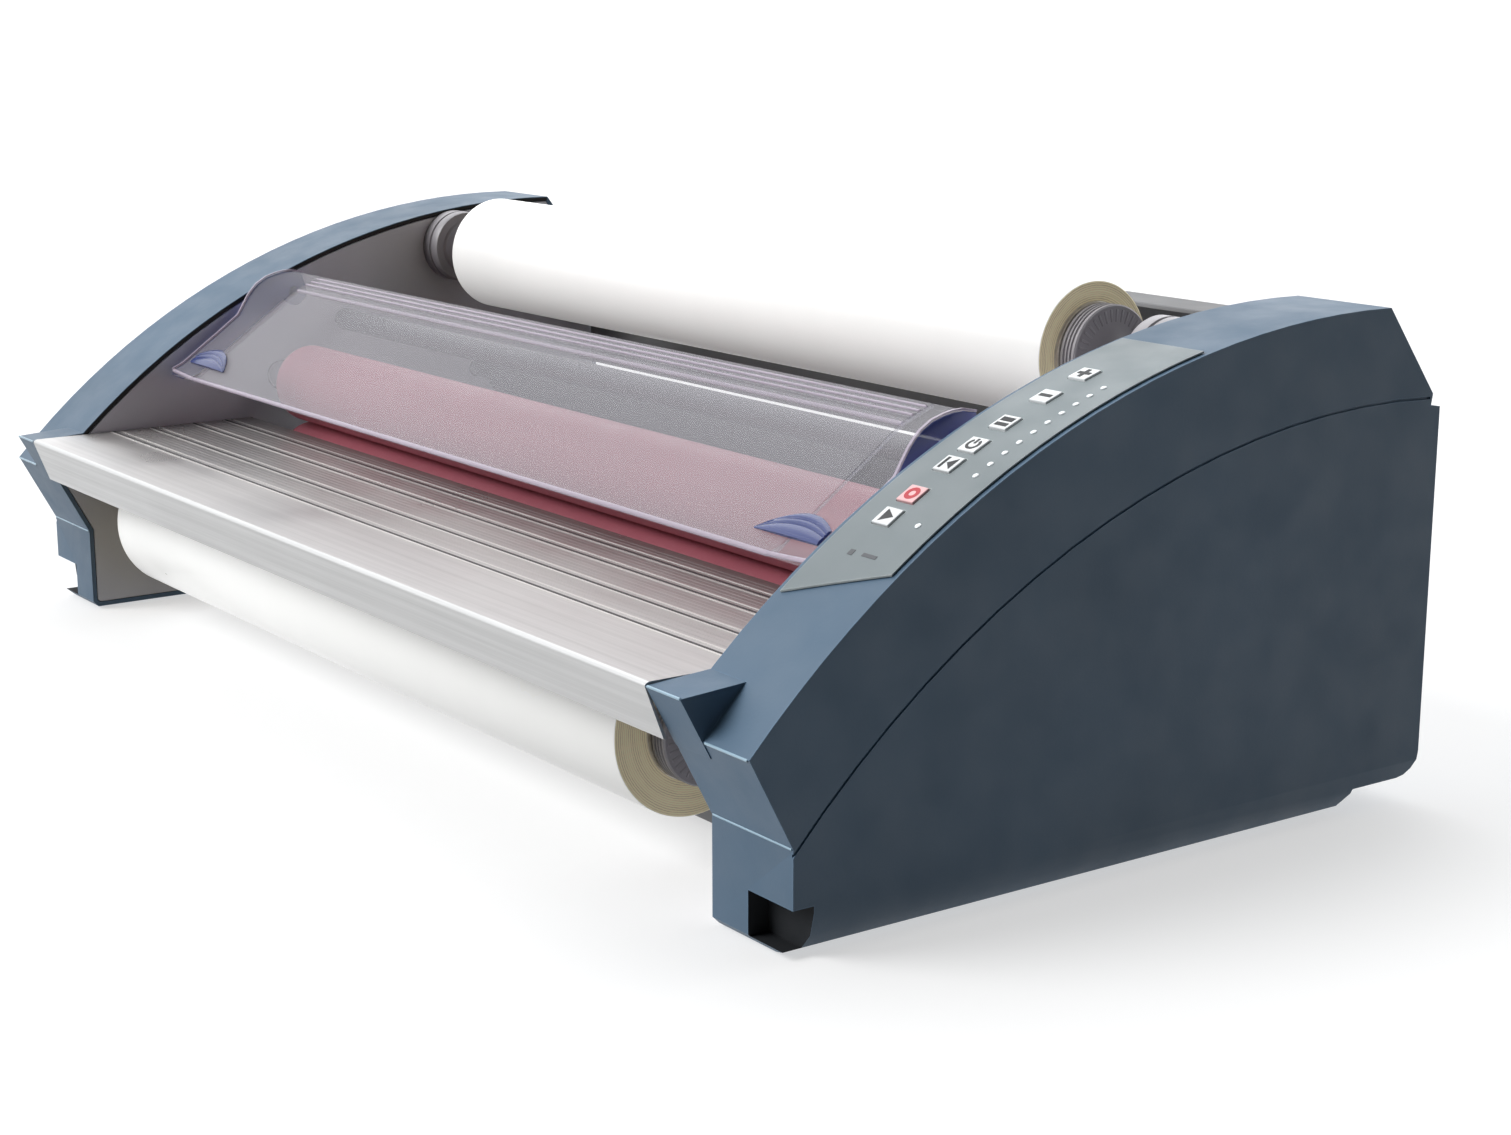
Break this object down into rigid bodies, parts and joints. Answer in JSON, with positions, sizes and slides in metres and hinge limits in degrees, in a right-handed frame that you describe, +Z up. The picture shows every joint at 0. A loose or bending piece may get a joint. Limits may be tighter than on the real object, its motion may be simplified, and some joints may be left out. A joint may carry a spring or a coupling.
{
  "type": "roll laminator",
  "caption": "Desktop roll laminator with upper and lower film rolls, feed table, hinged clear shield, silicone laminating rollers, pull rollers and keypad on one end cabinet.",
  "frame": {"origin": "middle of the footprint, on the surface the machine stands on", "axes": "+X along the rollers towards the control side, +Z up, infeed at -Y"},
  "size_m": [0.92, 0.469, 0.2855],
  "materials": {
    "slate_plastic": "moulded slate blue plastic, fine texture",
    "grey_frame": "grey powder coat",
    "satin_metal": "satin brushed",
    "bare_steel": "ground steel",
    "red_silicone": "smooth silicone",
    "white_film": "wound clear film, soft gloss",
    "card_core": "wound cardboard",
    "black_plastic": "satin black",
    "clear_acrylic": "clear acrylic",
    "blue_clear": "translucent blue",
    "pale_overlay": "printed pale grey-green",
    "button_white": "white key",
    "button_red": "red key",
    "rubber": "matt rubber",
    "circuit_green": "solder mask"
  },
  "bodies": {
    "chassis": {"side_frame_left": "grey_frame", "side_frame_right": "grey_frame", "side_cover_left": "slate_plastic", "side_cover_right": "slate_plastic", "foot_strip_left": "rubber", "foot_strip_right": "rubber", "base_pan": "grey_frame", "rear_cover": "pale_overlay", "front_tie_bar": "bare_steel", "table_rail_left": "grey_frame", "table_rail_right": "grey_frame", "control_overlay": "pale_overlay", "keypad_board": "circuit_green", "power_supply": "satin_metal", "power_inlet": "black_plastic", "upper_hub_left": "black_plastic", "upper_hub_right": "black_plastic", "lower_hub_left": "black_plastic", "lower_hub_right": "black_plastic", "roller_bearing_left": "black_plastic", "roller_bearing_right": "black_plastic", "pull_bearing_left": "black_plastic", "pull_bearing_right": "black_plastic", "gear_motor": "satin_metal", "drive_belt": "rubber", "upper_heater_rod": "satin_metal", "lower_heater_rod": "satin_metal"},
    "table": {"feed_table": "satin_metal"},
    "shield": {"safety_shield": "clear_acrylic", "shield_bracket_left": "blue_clear", "shield_bracket_right": "blue_clear", "shield_tab_left": "blue_clear", "shield_tab_right": "blue_clear"},
    "upper_supply": {"upper_film_roll": "white_film", "upper_core_tube": "card_core", "upper_mandrel": "black_plastic"},
    "lower_supply": {"lower_film_roll": "white_film", "lower_core_tube": "card_core", "lower_mandrel": "black_plastic"},
    "lower_roller": {"lower_roller_tube": "bare_steel", "lower_roller_sleeve": "red_silicone", "lower_roller_gear": "black_plastic", "lower_roller_pulley": "black_plastic"},
    "upper_roller": {"upper_roller_tube": "bare_steel", "upper_roller_sleeve": "red_silicone", "upper_roller_gear": "black_plastic"},
    "pinion": {"motor_pinion": "black_plastic"},
    "lower_pull": {"lower_pull_roller": "rubber"},
    "upper_pull": {"upper_pull_roller": "rubber"},
    "upper_idler": {"upper_idler_bar": "bare_steel"},
    "lower_idler": {"lower_idler_bar": "bare_steel"},
    "rocker": {"power_rocker": "rubber"},
    "run_button_key": {"run_button": "button_white"},
    "stop_button_key": {"stop_button": "button_red"},
    "reverse_button_key": {"reverse_button": "button_white"},
    "standby_button_key": {"standby_button": "button_white"},
    "mode_button_key": {"mode_button": "button_white"},
    "slower_button_key": {"slower_button": "button_white"},
    "faster_button_key": {"faster_button": "button_white"}
  },
  "joints": [
    {"name": "table_slide", "type": "slide", "parent": "chassis", "child": "table", "axis": [0, -1, 0], "range_m": [0, 0.1]},
    {"name": "shield_hinge", "type": "hinge", "parent": "chassis", "child": "shield", "pos_m": [0, -0.034, 0.22], "axis": [-1, 0, 0], "range_deg": [0, 100]},
    {"name": "upper_film_spin", "type": "hinge", "parent": "chassis", "child": "upper_supply", "pos_m": [0, 0.1065, 0.2455], "axis": [1, 0, 0], "continuous": true},
    {"name": "lower_film_spin", "type": "hinge", "parent": "chassis", "child": "lower_supply", "pos_m": [0, -0.147, 0.0712], "axis": [1, 0, 0], "continuous": true},
    {"name": "lower_roller_spin", "type": "hinge", "parent": "chassis", "child": "lower_roller", "pos_m": [0, -0.042, 0.1022], "axis": [1, 0, 0], "continuous": true},
    {"name": "upper_roller_spin", "type": "hinge", "parent": "chassis", "child": "upper_roller", "pos_m": [0, -0.042, 0.1578], "axis": [1, 0, 0], "continuous": true},
    {"name": "motor_pinion_spin", "type": "hinge", "parent": "chassis", "child": "pinion", "pos_m": [0, -0.02504, 0.0641], "axis": [1, 0, 0], "continuous": true},
    {"name": "lower_pull_spin", "type": "hinge", "parent": "chassis", "child": "lower_pull", "pos_m": [0, 0.125, 0.1117], "axis": [1, 0, 0], "continuous": true},
    {"name": "upper_pull_spin", "type": "hinge", "parent": "chassis", "child": "upper_pull", "pos_m": [0, 0.125, 0.1483], "axis": [1, 0, 0], "continuous": true},
    {"name": "upper_idler_spin", "type": "hinge", "parent": "chassis", "child": "upper_idler", "pos_m": [0, 0.01, 0.196], "axis": [1, 0, 0], "continuous": true},
    {"name": "lower_idler_spin", "type": "hinge", "parent": "chassis", "child": "lower_idler", "pos_m": [0, -0.075, 0.05], "axis": [1, 0, 0], "continuous": true},
    {"name": "power_rocker_tilt", "type": "hinge", "parent": "chassis", "child": "rocker", "pos_m": [0.342, 0.2235, 0.055], "axis": [-1, 0, 0], "range_deg": [0, 16]},
    {"name": "run_button_press", "type": "slide", "parent": "chassis", "child": "run_button_key", "axis": [0, 0.5289, -0.8487], "range_m": [0, 0.0008], "stiffness_N_per_m": 600, "springref_m": -0.0006},
    {"name": "stop_button_press", "type": "slide", "parent": "chassis", "child": "stop_button_key", "axis": [0, 0.5015, -0.8651], "range_m": [0, 0.0008], "stiffness_N_per_m": 600, "springref_m": -0.0006},
    {"name": "reverse_button_press", "type": "slide", "parent": "chassis", "child": "reverse_button_key", "axis": [0, 0.4609, -0.8875], "range_m": [0, 0.0008], "stiffness_N_per_m": 600, "springref_m": -0.0006},
    {"name": "standby_button_press", "type": "slide", "parent": "chassis", "child": "standby_button_key", "axis": [0, 0.433, -0.9014], "range_m": [0, 0.0008], "stiffness_N_per_m": 600, "springref_m": -0.0006},
    {"name": "mode_button_press", "type": "slide", "parent": "chassis", "child": "mode_button_key", "axis": [0, 0.3969, -0.9179], "range_m": [0, 0.0008], "stiffness_N_per_m": 600, "springref_m": -0.0006},
    {"name": "slower_button_press", "type": "slide", "parent": "chassis", "child": "slower_button_key", "axis": [0, 0.3493, -0.937], "range_m": [0, 0.0008], "stiffness_N_per_m": 600, "springref_m": -0.0006},
    {"name": "faster_button_press", "type": "slide", "parent": "chassis", "child": "faster_button_key", "axis": [0, 0.303, -0.953], "range_m": [0, 0.0008], "stiffness_N_per_m": 600, "springref_m": -0.0006}
  ],
  "couplings": [
    {"joint": "upper_roller_spin", "follows": "lower_roller_spin", "ratio": -1},
    {"joint": "motor_pinion_spin", "follows": "lower_roller_spin", "ratio": -2},
    {"joint": "lower_pull_spin", "follows": "lower_roller_spin", "ratio": 1.5278},
    {"joint": "upper_pull_spin", "follows": "lower_roller_spin", "ratio": -1.5278}
  ]
}
